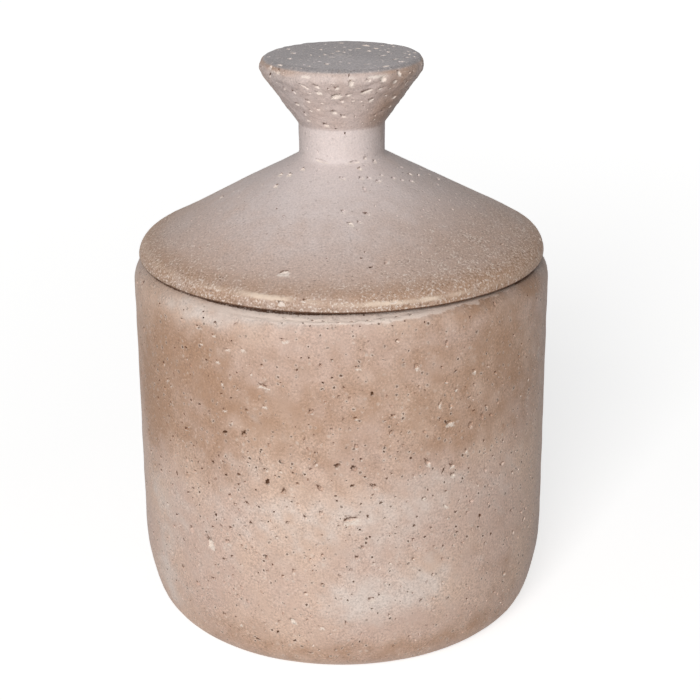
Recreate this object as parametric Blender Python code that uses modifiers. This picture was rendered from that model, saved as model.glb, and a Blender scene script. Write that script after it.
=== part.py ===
"""Lidded storage jar: a thick-walled turned jar and its hollow conical lid with a flared knob.

Metres, +Z up. The origin is the centre of the foot, on the surface that the jar stands on.
"""

import math

import bpy
from mathutils import Vector

# Jar, outside
BODY_RADIUS = 0.0800
BODY_HEIGHT = 0.1453         # foot to rim
RIM_ROUND = 0.0085           # soft shoulder under the lid's edge
TUCK_HEIGHT = 0.0229         # where the wall starts to lean in towards the foot
TUCK_IN = 0.0075             # how far it has leaned in at the level of the foot
TUCK_ROUND = 0.1100          # long soft bend at the start of the tuck
HEEL_ROUND = 0.0180          # where the wall turns under
FOOT_RECESS_RADIUS = 0.0500  # hollow under the base that leaves a ring to stand on
FOOT_RECESS_DEPTH = 0.0015

# Jar, inside
WALL = 0.0115
FLOOR = 0.0120
MOUTH_ROUND = 0.0015         # inner edge of the rim
INSIDE_CORNER = 0.0200       # between the inner wall and the floor

# Lid, outside
LID_SETBACK = 0.0021         # the lid's edge stands in from the jar's wall by this much
LID_EDGE = 0.0048            # height of the edge before the cone starts
LID_EDGE_ROUND = 0.0062      # between the edge and the cone
LID_LOWER_ROUND = 0.0010     # lower corner of the edge
CONE_RISE = 0.0332           # edge to neck
NECK_RADIUS = 0.0163
NECK_HEIGHT = 0.0122
NECK_ROOT_ROUND = 0.0028     # between cone and neck
NECK_TOP_ROUND = 0.0016      # between neck and knob
KNOB_RADIUS = 0.0340
KNOB_HEIGHT = 0.0252         # flare of the knob, neck to top
KNOB_EDGE_ROUND = 0.0036

# Lid, inside
LID_WALL = 0.0100            # thickness of the cone, square to its surface
RING_DEPTH = 0.0110          # locating ring that drops into the mouth
RING_WALL = 0.0080
RING_CLEARANCE = 0.0015      # between the ring and the mouth, all round
RING_ROUND = 0.0022          # edges of the ring and its root in the hollow
CROWN_RADIUS = 0.0100        # flat top of the hollow, under the neck
CROWN_ROUND = 0.0080

SEAT_GAP = 0.0003            # between the lid's seat and the rim

# Mesh
TURN_STEPS = 72              # facets round the axis
ARC_STEP = math.radians(15)  # widest chord of a rounded corner, as an angle
LEAST_CHORDS = 4             # in any rounded corner
AXIS_MERGE = 0.00001
SAME_POINT = 0.000001


def clear_scene():
    for obj in list(bpy.data.objects):
        bpy.data.objects.remove(obj)


def stone(name, colour, roughness):
    """A matt, unglazed stone finish. The colour is linear RGB."""
    material = bpy.data.materials.new(name)
    material.use_nodes = True
    shader = material.node_tree.nodes["Principled BSDF"]
    shader.inputs["Base Color"].default_value = (*colour, 1.0)
    shader.inputs["Roughness"].default_value = roughness
    shader.inputs["Metallic"].default_value = 0.0
    material.diffuse_color = (*colour, 1.0)
    return material


def arc(corner, back, onward, tangent):
    """Points that round a corner, from one tangent point to the other.

    back and onward are unit vectors from the corner along its two edges, and the arc
    touches each edge at the tangent length from the corner.
    """
    turn = math.pi - back.angle(onward)
    centre = corner + (back + onward).normalized() * tangent / math.sin(turn / 2)
    radius = tangent / math.tan(turn / 2)
    first = corner + back * tangent - centre
    last = corner + onward * tangent - centre
    chords = max(LEAST_CHORDS, math.ceil(turn / ARC_STEP))
    return [centre + radius * first.slerp(last, i / chords) for i in range(chords + 1)]


def rounded(corners):
    """A profile through (radius, height, rounding) corners, each rounding made an arc.

    Two roundings that share an edge too short for both shrink to fit it.
    """
    places = [Vector(corner[:2]) for corner in corners]
    edges = [after - before for before, after in zip(places, places[1:])]
    tangents = [0.0]
    for before, after, corner in zip(edges, edges[1:], corners[1:]):
        tangents.append(corner[2] * math.tan(before.angle(after) / 2))
    tangents.append(0.0)
    wanted = [a + b for a, b in zip(tangents, tangents[1:])]
    shares = [min(1.0, edge.length / max(length, SAME_POINT)) for edge, length in zip(edges, wanted)]

    points = [places[0]]
    for i in range(1, len(places) - 1):
        tangent = tangents[i] * min(shares[i - 1], shares[i])
        stretch = [places[i]]
        if tangent > SAME_POINT:
            stretch = arc(places[i], -edges[i - 1].normalized(), edges[i].normalized(), tangent)
        points.extend(point for point in stretch if (point - points[-1]).length > SAME_POINT)
    points.append(places[-1])
    return points


def turned(name, corners, material, collection, parent, height):
    """A solid of revolution. Its profile starts and ends on the axis, and runs down the outer side."""
    profile = rounded(corners)
    links = [(i, i + 1) for i in range(len(profile) - 1)]
    mesh = bpy.data.meshes.new(name)
    mesh.from_pydata([(point.x, 0.0, point.y) for point in profile], links, [])
    mesh.materials.append(material)
    obj = bpy.data.objects.new(name, mesh)
    collection.objects.link(obj)
    obj.parent = parent
    obj.location.z = height
    screw = obj.modifiers.new("Turn", "SCREW")
    screw.steps = TURN_STEPS
    screw.render_steps = TURN_STEPS
    screw.use_merge_vertices = True
    screw.merge_threshold = AXIS_MERGE
    screw.use_smooth_shade = True
    return obj


def jar_corners():
    """From the floor's centre up the inner wall, over the rim and down the outside to the foot."""
    mouth = BODY_RADIUS - WALL
    return [
        (0.0, FLOOR, 0.0),
        (mouth, FLOOR, INSIDE_CORNER),
        (mouth, BODY_HEIGHT, MOUTH_ROUND),
        (BODY_RADIUS, BODY_HEIGHT, RIM_ROUND),
        (BODY_RADIUS, TUCK_HEIGHT, TUCK_ROUND),
        (BODY_RADIUS - TUCK_IN, 0.0, HEEL_ROUND),
        (FOOT_RECESS_RADIUS, 0.0, FOOT_RECESS_DEPTH),
        (FOOT_RECESS_RADIUS - FOOT_RECESS_DEPTH, FOOT_RECESS_DEPTH, FOOT_RECESS_DEPTH),
        (0.0, FOOT_RECESS_DEPTH, 0.0),
    ]


def lid_corners():
    """From the knob's top down the outside to the seat, round the locating ring and up the hollow.

    Heights are measured from the seat, which is the lid's origin.
    """
    edge = BODY_RADIUS - LID_SETBACK
    neck_foot = LID_EDGE + CONE_RISE
    knob_foot = neck_foot + NECK_HEIGHT
    knob_top = knob_foot + KNOB_HEIGHT
    ring_outside = BODY_RADIUS - WALL - RING_CLEARANCE
    ring_inside = ring_outside - RING_WALL

    slope = CONE_RISE / (edge - NECK_RADIUS)
    drop = LID_WALL * math.hypot(1.0, slope)

    def under_cone(radius):
        return LID_EDGE + (edge - radius) * slope - drop

    return [
        (0.0, knob_top, 0.0),
        (KNOB_RADIUS, knob_top, KNOB_EDGE_ROUND),
        (NECK_RADIUS, knob_foot, NECK_TOP_ROUND),
        (NECK_RADIUS, neck_foot, NECK_ROOT_ROUND),
        (edge, LID_EDGE, LID_EDGE_ROUND),
        (edge, 0.0, LID_LOWER_ROUND),
        (ring_outside, 0.0, 0.0),
        (ring_outside, -RING_DEPTH, RING_ROUND),
        (ring_inside, -RING_DEPTH, RING_ROUND),
        (ring_inside, under_cone(ring_inside), RING_ROUND),
        (CROWN_RADIUS, under_cone(CROWN_RADIUS), CROWN_ROUND),
        (0.0, under_cone(CROWN_RADIUS), 0.0),
    ]


def main():
    clear_scene()
    collection = bpy.data.collections.new("storage_jar")
    bpy.context.scene.collection.children.link(collection)
    foot = bpy.data.objects.new("foot_centre", None)
    collection.objects.link(foot)

    washed_stone = stone("washed_stone", (0.50, 0.36, 0.27), 0.85)
    bleached_stone = stone("bleached_stone", (0.52, 0.40, 0.33), 0.82)
    turned("jar_body", jar_corners(), washed_stone, collection, foot, 0.0)
    turned("lid", lid_corners(), bleached_stone, collection, foot, BODY_HEIGHT + SEAT_GAP)


main()
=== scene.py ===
# %% [markdown]
# # A storage jar in pitted stone-finish ceramic
#
# The jar is two castings: a thick-walled body and a loose conical lid with a flared knob.
# The frame brings both in at their true size, as smooth turned solids. On the real jar the
# looks are all in the skin: hundreds of small pits, chipped edges, a brown wash that clings
# in clouds and a pale bloom over it. This lesson makes that skin.

# %% Load the frame
import math

import bpy
import numpy as np
from mathutils import Euler, Matrix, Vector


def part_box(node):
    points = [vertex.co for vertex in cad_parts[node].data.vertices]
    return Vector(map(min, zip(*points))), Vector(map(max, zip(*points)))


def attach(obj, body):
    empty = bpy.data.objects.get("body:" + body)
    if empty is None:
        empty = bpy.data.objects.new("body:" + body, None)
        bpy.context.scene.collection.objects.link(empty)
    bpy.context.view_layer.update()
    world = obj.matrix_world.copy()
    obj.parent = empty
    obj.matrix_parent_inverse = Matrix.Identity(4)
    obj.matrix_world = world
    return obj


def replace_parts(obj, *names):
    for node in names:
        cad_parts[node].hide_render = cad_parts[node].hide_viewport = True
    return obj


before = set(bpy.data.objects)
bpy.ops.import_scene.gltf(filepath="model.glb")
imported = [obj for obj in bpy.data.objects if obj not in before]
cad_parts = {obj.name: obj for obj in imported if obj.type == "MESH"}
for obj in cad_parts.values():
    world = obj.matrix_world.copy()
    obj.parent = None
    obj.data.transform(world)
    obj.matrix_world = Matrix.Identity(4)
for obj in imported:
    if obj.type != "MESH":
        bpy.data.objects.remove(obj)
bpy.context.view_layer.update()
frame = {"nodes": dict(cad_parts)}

MM = 0.001
print("frame:", ", ".join(frame["nodes"]))

# %% [markdown]
# ## The camera comes first
#
# A camera and a turned outline were fitted together to the picture's silhouette. That gives
# the lens, the distance and the tilt. The camera is made before the jar's skin because marks
# that are seen at a pixel can then be put on the surface by looking along the same camera.

# %% Camera
IMAGE = 700                      # pixels, both ways
LENS = 88.2                      # mm, on a 36 mm wide sensor
SENSOR = 36.0
CAMERA_DISTANCE = 0.680          # m, from the jar's axis
CAMERA_PITCH = math.radians(20.63)
CAMERA_AIM = 0.1034              # m, height of the point on the axis that the camera looks at
CAMERA_ASIDE = 0.0032            # m, the jar stands a little left of the picture's middle
CAMERA_ROLL = math.radians(-0.30)

camera = bpy.data.objects.new("camera", bpy.data.cameras.new("camera"))
bpy.context.scene.collection.objects.link(camera)
bpy.context.scene.camera = camera
camera.data.lens = LENS
camera.data.sensor_width = SENSOR
camera.location = (
    CAMERA_ASIDE,
    -CAMERA_DISTANCE * math.cos(CAMERA_PITCH),
    CAMERA_AIM + CAMERA_DISTANCE * math.sin(CAMERA_PITCH),
)
tilt = Euler((math.pi / 2 - CAMERA_PITCH, 0, 0)).to_matrix() @ Matrix.Rotation(CAMERA_ROLL, 3, "Z")
camera.rotation_euler = tilt.to_euler()


def pixels_of(points):
    """Where points (m) appear in the picture: each is turned into the camera's own axes, and its sideways
    and upward parts are divided by its distance in front of the lens. Returns (x, y) and the distance."""
    seen = (points - np.array(camera.location)) @ np.array(tilt)
    focal = LENS / SENSOR * IMAGE
    away = -seen[:, 2]
    return np.stack([IMAGE / 2 + focal * seen[:, 0] / away, IMAGE / 2 - focal * seen[:, 1] / away], 1), away


print("camera: lens", LENS, "mm at", [round(x, 4) for x in camera.location])

# %% [markdown]
# ## Turned profiles
#
# Both castings are bodies of revolution, so each starts as a profile: a few corners, some of
# them rounded. A Screw modifier could spin it, but pits have to be let into the surface later,
# so the points are worked out here. The profile is cut into stations, close together where the
# surface shows and wider inside. It runs so that every face made from it points outwards.

# %% Stations along a profile
WIDEST_CHORD = math.radians(10)  # of a rounded corner
TINY = 1e-6


def stations(corners):
    """Points along a profile of straight runs and arcs.

    A corner is (radius, height, rounding, step), in mm, and step is the spacing of the stations on the
    run that leads to it. An arc of radius R that starts along the unit vector w has the points
    start + R (sin t) w + R (1 - cos t) v, where v is w turned a quarter towards the arc's centre.
    Two roundings that share a run too short for both shrink to fit it.
    """
    corners = np.array(corners, float)
    places, rounding, step = corners[:, :2], corners[:, 2], corners[:, 3]
    way = np.diff(places, axis=0)
    length = np.linalg.norm(way, axis=1)
    way /= length[:, None]
    cross = way[:-1, 0] * way[1:, 1] - way[:-1, 1] * way[1:, 0]
    turn = np.arctan2(cross, (way[:-1] * way[1:]).sum(1))
    tangent = np.r_[0, rounding[1:-1] * np.tan(np.abs(turn) / 2), 0]
    fit = np.minimum(1, length / np.maximum(tangent[:-1] + tangent[1:], TINY))
    tangent[1:-1] *= np.minimum(fit[:-1], fit[1:])
    pieces = []
    for i, w in enumerate(way):
        start = places[i] + w * tangent[i]
        end = places[i + 1] - w * tangent[i + 1]
        run = np.linalg.norm(end - start)
        if run > TINY:
            share = np.linspace(0, 1, max(1, round(run / step[i + 1])), endpoint=False)
            pieces.append(start + share[:, None] * (end - start))
        if tangent[i + 1] > 0:
            bend = abs(turn[i])
            radius = tangent[i + 1] / math.tan(bend / 2)
            chords = max(math.ceil(bend / WIDEST_CHORD), round(radius * bend / step[i + 1]))
            t = np.linspace(0, bend, chords, endpoint=False)[:, None]
            v = np.sign(turn[i]) * np.array([-w[1], w[0]])
            pieces.append(end + radius * (np.sin(t) * w + (1 - np.cos(t)) * v))
    return np.concatenate([*pieces, places[-1:]])


def outward(profile):
    """Unit normals of a profile, to the left of the way it runs: the mean of the ways before and after."""
    way = np.gradient(profile, axis=0)
    normal = np.stack([-way[:, 1], way[:, 0]], 1)
    return normal / np.linalg.norm(normal, axis=1)[:, None]


# %% Sizes, in mm
jar_high = np.array(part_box("jar_body")[1]) / MM
lid_high = np.array(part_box("lid")[1]) / MM
WALL_RADIUS = jar_high[0]
RIM = jar_high[2]
LID_RADIUS = lid_high[0]
TOP = lid_high[2]
WALL = 11.5
FLOOR = 12.0
TUCK_HEIGHT = 22.9               # where the wall starts to lean in
TUCK_IN = 7.5
FOOT_RECESS = 50.0               # radius
RECESS_DEPTH = 1.5
SEAT_GAP = 0.3                   # between the lid's seat and the rim
SEAT_WIDTH = 4.0                 # the lid's level seat reaches this far past the mouth
EDGE = 4.8                       # height of the lid's edge
UNDERCUT = 0.3                   # its lower corner stands this far over the seat
CONE_RISE = 33.2
NECK = 16.3                      # radius
NECK_HEIGHT = 12.2
KNOB = 34.0                      # radius
RING_CLEARANCE = 1.5             # between the lid's locating ring and the mouth
RING_WALL = 8.0
RING_DEPTH = 11.0
MOUTH = WALL_RADIUS - WALL       # inner radius of the wall
SEAT = RIM + SEAT_GAP
SEAT_EDGE = MOUTH + SEAT_WIDTH
RING_OUTSIDE = MOUTH - RING_CLEARANCE
RING_INSIDE = RING_OUTSIDE - RING_WALL
RING_FOOT = SEAT - RING_DEPTH
CONE_TOP = SEAT + EDGE + CONE_RISE
KNOB_FOOT = CONE_TOP + NECK_HEIGHT
CONE_SLOPE = (CONE_TOP - SEAT - EDGE) / (LID_RADIUS - NECK)
LID_WALL = 10.0
CROWN = 10.0                     # radius of the flat top of the lid's hollow


def under_cone(radius):
    """Height of the lid's hollow: the cone's own height, lowered by the wall measured straight down."""
    return SEAT + EDGE + (LID_RADIUS - radius) * CONE_SLOPE - LID_WALL * math.hypot(1, CONE_SLOPE)


print(f"jar {2 * WALL_RADIUS:.1f} mm across and {RIM:.1f} mm to the rim")
print(f"lid {2 * LID_RADIUS:.1f} mm across, with its top at {TOP:.1f} mm")

# %% The two profiles
FLOOR_CORNER = 20                # roundings, in mm
MOUTH_ROUND = 1.5
SHOULDER_ROUND = 8.5
TUCK_ROUND = 110                 # the long bend where the wall starts to lean in
HEEL_ROUND = 18
KNOB_ROUND = 3.6
NECK_TOP_ROUND = 1.6
NECK_ROOT_ROUND = 2.8
LID_EDGE_ROUND = 6.2
LOWER_ROUND = 0.8                # lower corner of the lid's edge
RING_ROUND = 2.2
CROWN_ROUND = 8
jar_profile = stations([
    (0, FLOOR, 0, 8),
    (MOUTH, FLOOR, FLOOR_CORNER, 8),
    (MOUTH, RIM, MOUTH_ROUND, 8),
    (WALL_RADIUS, RIM, SHOULDER_ROUND, 0.5),
    (WALL_RADIUS, TUCK_HEIGHT, TUCK_ROUND, 2.0),
    (WALL_RADIUS - TUCK_IN, 0, HEEL_ROUND, 1.7),
    (FOOT_RECESS, 0, RECESS_DEPTH, 4),
    (FOOT_RECESS - RECESS_DEPTH, RECESS_DEPTH, RECESS_DEPTH, 1),
    (0, RECESS_DEPTH, 0, 8),
])
lid_profile = stations([
    (0, TOP, 0, 1.7),
    (KNOB, TOP, KNOB_ROUND, 1.2),
    (NECK, KNOB_FOOT, NECK_TOP_ROUND, 0.9),
    (NECK, CONE_TOP, NECK_ROOT_ROUND, 1.6),
    (LID_RADIUS, SEAT + EDGE, LID_EDGE_ROUND, 1.6),
    (LID_RADIUS, SEAT + UNDERCUT, LOWER_ROUND, 0.5),
    (SEAT_EDGE, SEAT, 0, 2),
    (RING_OUTSIDE, SEAT, 0, 3),
    (RING_OUTSIDE, RING_FOOT, RING_ROUND, 4),
    (RING_INSIDE, RING_FOOT, RING_ROUND, 4),
    (RING_INSIDE, under_cone(RING_INSIDE), RING_ROUND, 4),
    (CROWN, under_cone(CROWN), CROWN_ROUND, 6),
    (0, under_cone(CROWN), 0, 6),
])
print("jar:", len(jar_profile), "stations, lid:", len(lid_profile), "stations")

# %% [markdown]
# ## A surface of two parameters
#
# A point of a casting is given by a station along the profile and a turn about the axis. Real
# castings aren't true: the wall swells and sinks by a fraction of a millimetre. A Displace
# modifier with a texture could do that, but a sum of sine waves in random directions is one
# line of numpy, and the same line later scatters pits and dirt.

# %% Surface of revolution
COLUMNS = 240                    # round the axis, 2.1 mm apart on the wall


def ripple(points, wavelength, seed, waves=24):
    """Smooth random unevenness, mostly between -1 and 1: a scaled sum of sine waves of nearly one length
    (mm), each in its own random direction and with its own random start."""
    rng = np.random.default_rng(seed)
    way = rng.normal(size=(waves, 3))
    way *= (2 * np.pi / wavelength) * rng.uniform(0.7, 1.4, (waves, 1)) / np.linalg.norm(way, axis=1)[:, None]
    return np.sin(points @ way.T + rng.uniform(0, 2 * np.pi, waves)).sum(1) * math.sqrt(2 / waves) / 1.5


def turned(profile, row, column, depth=0.0):
    """Points of a turned surface, in mm: radius and height are read off the profile at a fractional row,
    pushed inwards along the profile's normal by depth, and swung round the axis by the column."""
    index = np.arange(len(profile))
    normal = outward(profile)
    radius, height = (np.interp(row, index, profile[:, k]) for k in (0, 1))
    out, up = (np.interp(row, index, normal[:, k]) for k in (0, 1))
    angle = column * (2 * np.pi / COLUMNS)
    radius = radius - depth * out
    return np.stack([radius * np.cos(angle), radius * np.sin(angle), height - depth * up], 1)


def polar(points):
    """Radius, height and angle of points. The angle is in degrees from the front, positive to the right."""
    angle = np.degrees(np.arctan2(points[:, 0], -points[:, 1]))
    return np.hypot(points[:, 0], points[:, 1]), points[:, 2], angle


print("grids:", len(jar_profile) * COLUMNS, "and", len(lid_profile) * COLUMNS, "points")

# %% [markdown]
# ## The jar's own unevenness
#
# The rim looks as if it had been trimmed by hand. A narrow strip under the lid ends in a ragged
# crease, sharp at the front and soft on both sides, and it sinks a little at the front left,
# where the gap under the lid gapes. A sculpt brush could cut it, but formulas of angle and
# height can be set to the picture and changed later.

# %% Jar surface
JAR_SWELLS = ((0.10, 60, 1), (0.06, 14, 2), (0.03, 5, 3))  # height and length in mm, and seed
CREASE_DROP = 2.85               # mm under the rim, where the crease is lowest
CREASE_LOWEST = -17              # degrees from the front
CREASE_RISE = 0.0008             # mm per square degree
CREASE_MOST = 1.9                # mm, the most that it rises
STRIP_DEPTH = 0.42               # mm, right over the crease
DIP_DEPTH = 0.70                 # mm, the hollow at the front left
FILL_HEIGHT = 0.9                # mm, the shoulder at the front right


def bell(x, middle, width):
    """A bell curve: 1 at the middle, and the exponential of minus the square of the distance in widths."""
    return np.exp(-((x - middle) / width) ** 2)


def crease(points):
    """How far (mm) a point is above the rim's crease, and how sharp the crease is there, 0 to 1. The
    crease's height rises with the square of the angle from left of the front, and wavers."""
    radius, height, angle = polar(points)
    level = RIM - CREASE_DROP + np.minimum(CREASE_RISE * (angle - CREASE_LOWEST) ** 2, CREASE_MOST)
    level = level + 0.30 * ripple(points, 5, 31) + 0.15 * ripple(points, 2, 32)
    sharp = np.interp(angle, (-60, -35, -15, 15, 40, 62), (0, 0.5, 1, 1, 0.6, 0))
    sharp = np.maximum(sharp, 0.6 * np.clip(ripple(points * (1, 1, 0), 70, 33), 0, 1) * (np.abs(angle) > 60))
    return height - level, sharp * (radius > MOUTH + 3.5)


def jar_relief(points):
    """How far the jar's skin stands out (mm): swells of three sizes, the sunk strip over the crease, which
    is deepest right at the crease and fades upwards, the hollow at the rim's front left, and the shoulder
    that stands out at its front right. The mouth's edge, where the lid rests, and the foot stay true."""
    radius, height, angle = polar(points)
    free = (radius > MOUTH + 2) * np.interp(height, (0, 6, RIM - 6, RIM - 1), (0, 1, 1, 0))
    swell = sum(tall * ripple(points, long, seed) for tall, long, seed in JAR_SWELLS)
    above, sharp = crease(points)
    strip = STRIP_DEPTH * sharp * np.clip(above / 0.5, 0, 1) * np.clip(1.3 - above / 3.0, 0, 1)
    clear_of_seat = np.interp(radius, (MOUTH + 3.5, MOUTH + 5.5), (0, 1))
    dip = DIP_DEPTH * bell(angle, -21, 17) * np.interp(height, (RIM - 7, RIM - 2), (0, 1))
    dip = dip * clear_of_seat
    fill = FILL_HEIGHT * bell(angle, 25, 17) * np.interp(height, (RIM - 7, RIM - 3.5, RIM - 0.5), (0, 1, 0.1))
    fill = fill * clear_of_seat
    return free * swell - strip - dip + fill


def jar_surface(row, column, depth=0.0):
    """The jar's skin: the turned profile, pushed out by its relief and in by a depth."""
    return turned(jar_profile, row, column, depth - jar_relief(turned(jar_profile, row, column)))


# %% [markdown]
# ## The lid's own unevenness
#
# The lid is a little crooked: its right side stands higher, and the knob sits half a millimetre
# to the right. Its lower edge has a worn ridge, and the knob's flare is lumpy. Turning the whole
# object would lift the lid off its seat, so the points are sheared, from nothing at the seat.

# %% Lid surface
LID_SWELLS = ((0.08, 40, 4), (0.05, 12, 5), (0.02, 4, 6))  # height and length in mm, and seed
RIDGE_HEIGHT = 0.25              # mm
LID_LIFT = 0.010                 # rise per distance to the right
LID_SHIFT = 0.55                 # mm to the right


def ridge_line(points):
    """Height of the worn ridge over the lid's lower edge at a point's angle, and how strong it is there: on
    two stretches of the front, and weaker round the rest."""
    angle = polar(points)[2]
    level = SEAT + np.interp(angle, (-30, -12, 0, 20), (4.9, 4.7, 3.5, 3.4))
    turns = (-36, -29, -13, -8, 1, 4, 22, 30, 45)
    strong = np.interp(angle, turns, (0.2, 1, 1, 0.3, 0.2, 0.9, 1, 0.4, 0.2))
    return level, strong * np.clip(0.7 + 0.6 * ripple(points, 9, 41), 0, 1.2)


def lid_relief(points):
    """How far the lid's skin stands out (mm): swells of three sizes, lumps on the knob and the ridge, which
    is a bell curve of the height over or under its line. The seat, the ring and the hollow stay true."""
    radius, height, _ = polar(points)
    free = (height > under_cone(radius) + 5) * np.interp(height, (SEAT + 0.2, SEAT + 1.2), (0, 1))
    swell = sum(tall * ripple(points, long, seed) for tall, long, seed in LID_SWELLS)
    lumpy = np.interp(height, (KNOB_FOOT + 1, KNOB_FOOT + 7, TOP - 2, TOP), (0, 1, 1, 0.3))
    lumps = lumpy * (0.11 * ripple(points, 7, 7) + 0.15 * ripple(points * (1, 1, 2), 4.5, 8))
    level, strong = ridge_line(points)
    ridge = strong * bell(height, level, 0.9) * (radius > LID_RADIUS - 6)
    return free * (swell + lumps + RIDGE_HEIGHT * ridge)


def lid_surface(row, column, depth=0.0):
    """The lid's skin: the turned profile with its relief, then sheared. Points rise by LID_LIFT times their
    distance to the right and move right by LID_SHIFT, both growing from nothing at the seat."""
    points = turned(lid_profile, row, column, depth - lid_relief(turned(lid_profile, row, column)))
    share = np.interp(points[:, 2], (SEAT + 1, SEAT + 9), (0, 1))
    lift = LID_LIFT * points[:, 0] * share
    return points + np.stack([LID_SHIFT * share, np.zeros_like(share), lift], 1)


# %% [markdown]
# ## Pits in a grid
#
# A pit is a millimetre wide, finer than the grid. Splitting the whole grid that fine would
# take millions of faces, so only the cells under a pit change: a block of cells is taken out,
# and rings of points lead from its border down to the pit's floor. The border keeps its own
# points, so the surface stays closed. Pits of one block size are made together, as arrays.

# %% Pit rings
LIP, WALL_RING, FLOOR_RING = 1, 2, 3
# each ring: which it is, its share of the lip's radius, its share of the depth
SMALL_PIT = np.array([(LIP, 1.0, 0.0), (WALL_RING, 0.74, 1.0)])
LARGE_PIT = np.array([(LIP, 1.0, 0.0), (WALL_RING, 0.86, 0.45), (FLOOR_RING, 0.55, 1.0)])
LIT_DUSTY_SIDE = math.radians(70)     # the side of a pit that is painted pale as lit and dusty, measured from the right downwards
RAGGED_LIP = (0.62, 1.25)        # least and greatest share of a lip's radius
UNEVEN_DEPTH = (0.75, 1.2)       # and of a ring point's depth
INSIDE_BLOCK = 0.88              # how far a lip may reach towards its block's border


def border(m, n):
    """Rows and columns of the grid points round a block of m rows and n columns: down its left side, along
    its lower side, up its right side and back along its upper side, counter-clockwise from outside."""
    row = np.r_[np.arange(m), np.full(n, m), np.arange(m, 0, -1), np.zeros(n, int)]
    column = np.r_[np.zeros(m, int), np.arange(n), np.full(m, n), np.arange(n, 0, -1)]
    return row, column


def doubled(values):
    """Values round a loop, with the middle between each two neighbours put in."""
    return np.stack([values, (values + np.roll(values, -1)) / 2], 1).ravel()


def pit_rings(pits, m, n, rings, rng):
    """Rows, columns and depths of the ring points of all pits on m by n blocks, and how much each point is
    on its pit's lower side, by the way the ellipse faces there. A ring is an ellipse of half-axes a and b,
    turned by a slant round the pit's middle. It is read at the directions of the border's points and the
    middles between them, with a random share on each radius, and kept inside the block."""
    row, column = border(m, n)
    a, b, slant, du, dv, depth = (pits[k][:, None] for k in ("a", "b", "slant", "du", "dv", "depth"))
    middle_row, middle_column = (pits[k][:, None] for k in ("middle_row", "middle_column"))
    down = (pits["row"][:, None] + doubled(row) - middle_row) * dv
    right = (pits["column"][:, None] + doubled(column) - middle_column) * du
    angle = np.arctan2(down, right)
    across, along = np.cos(angle), np.sin(angle)
    lip = a * b / np.hypot(b * np.cos(angle - slant), a * np.sin(angle - slant))
    lip = np.minimum(lip * rng.uniform(*RAGGED_LIP, lip.shape), INSIDE_BLOCK * np.hypot(down, right))
    facing = slant + np.arctan2(a ** 2 * np.sin(angle - slant), b ** 2 * np.cos(angle - slant))
    reach = lip[:, None] * rings[:, 1, None]
    rows = middle_row[:, None] + reach * along[:, None] / dv[:, None]
    columns = middle_column[:, None] + reach * across[:, None] / du[:, None]
    depths = depth[:, None] * rings[:, 2, None] * rng.uniform(*UNEVEN_DEPTH, reach.shape)
    return rows, columns, depths, np.broadcast_to(np.cos(facing - LIT_DUSTY_SIDE)[:, None], reach.shape)


# %% Grid with pits
def pitted_grid(profile, pits, rng):
    """A grid round the axis with its pits. Returns arrays for all points (row, column, depth, ring, pit
    number, lower side) and the faces as index arrays, grouped by their number of corners. Ring is 0 on the
    grid and 1 at a lip, and a grid point's pit number is -1."""
    inner = len(profile) - 2
    row, column = np.meshgrid(np.arange(1, inner + 1), np.arange(COLUMNS), indexing="ij")
    total = 2 + row.size
    rows = np.r_[0, len(profile) - 1, row.ravel()]
    columns = np.r_[0, 0, column.ravel()]
    nothing = np.zeros(total)
    points = [np.stack([rows, columns, nothing, nothing, nothing - 1, nothing])]

    def at(r, c):
        return 2 + (r - 1) * COLUMNS + c % COLUMNS

    c = np.arange(COLUMNS)
    start = np.stack([np.zeros_like(c), at(1, c), at(1, c + 1)], 1)
    end = np.stack([at(inner, c), np.ones_like(c), at(inner, c + 1)], 1)
    faces = {3: [start, end], 4: [], 5: []}
    whole = np.ones((inner + 1, COLUMNS), bool)
    for m, n in sorted(set(zip(pits["m"], pits["n"]))):
        chosen = np.flatnonzero((pits["m"] == m) & (pits["n"] == n))
        group = {key: values[chosen] for key, values in pits.items()}
        cell_row = np.add.outer(group["row"], np.repeat(np.arange(m), n))
        cell_column = np.add.outer(group["column"], np.tile(np.arange(n), m))
        whole[cell_row, cell_column % COLUMNS] = False
        rings = SMALL_PIT if m * n == 1 else LARGE_PIT
        r, k, d, lower = pit_rings(group, m, n, rings, rng)
        ids = total + np.arange(r.size).reshape(r.shape)
        total += r.size
        ring = np.broadcast_to(rings[:, 0, None], r.shape)
        owner = np.broadcast_to(chosen[:, None, None], r.shape)
        points.append(np.stack([r, k, d, ring, owner, lower]).reshape(6, -1))
        edge_row, edge_column = border(m, n)
        rim = at(group["row"][:, None] + edge_row, group["column"][:, None] + edge_column)
        lip, floor = ids[:, 0], ids[:, -1]
        fan = [rim, np.roll(rim, -1, 1), np.roll(lip[:, ::2], -1, 1), lip[:, 1::2], lip[:, ::2]]
        faces[5].append(np.stack(fan, 2).reshape(-1, 5))
        for high, low in zip(ids.swapaxes(0, 1)[:-1], ids.swapaxes(0, 1)[1:]):
            band = [high, np.roll(high, -1, 1), np.roll(low, -1, 1), low]
            faces[4].append(np.stack(band, 2).reshape(-1, 4))
        faces.setdefault(floor.shape[1], []).append(floor)
    r, k = np.nonzero(whole[1:inner])
    faces[4].append(np.stack([at(r + 1, k), at(r + 2, k), at(r + 2, k + 1), at(r + 1, k + 1)], 1))
    return np.concatenate(points, 1), {sides: np.concatenate(found) for sides, found in faces.items()}
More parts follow.
